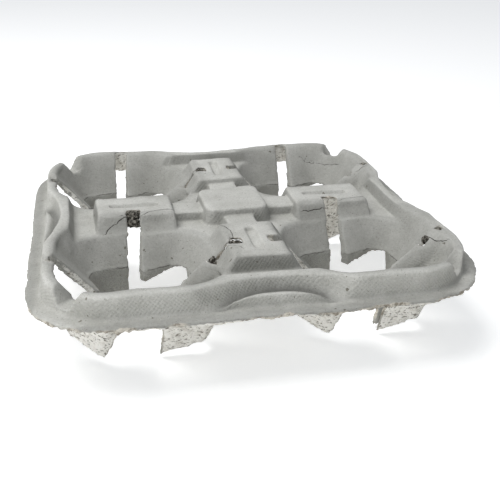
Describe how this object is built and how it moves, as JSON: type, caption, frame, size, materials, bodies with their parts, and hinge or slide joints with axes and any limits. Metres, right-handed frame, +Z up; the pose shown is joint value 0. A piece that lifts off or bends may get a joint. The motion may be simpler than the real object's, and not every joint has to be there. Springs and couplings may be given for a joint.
{
  "type": "cup carrier",
  "caption": "Square moulded fibre tray with a raised rim, a cross of raised arms and slotted flexing wells that grip drink cups.",
  "frame": {"origin": "middle of the square that the flaps' feet stand on", "axes": "+Z up out of the wells, +X and +Y along the tray's sides"},
  "size_m": [0.212, 0.212, 0.0485],
  "materials": {
    "moulded_fibre": "matt grey recycled fibre, smooth on top and rough underneath"
  },
  "bodies": {
    "root": {"cup_carrier": "moulded_fibre"}
  },
  "joints": []
}
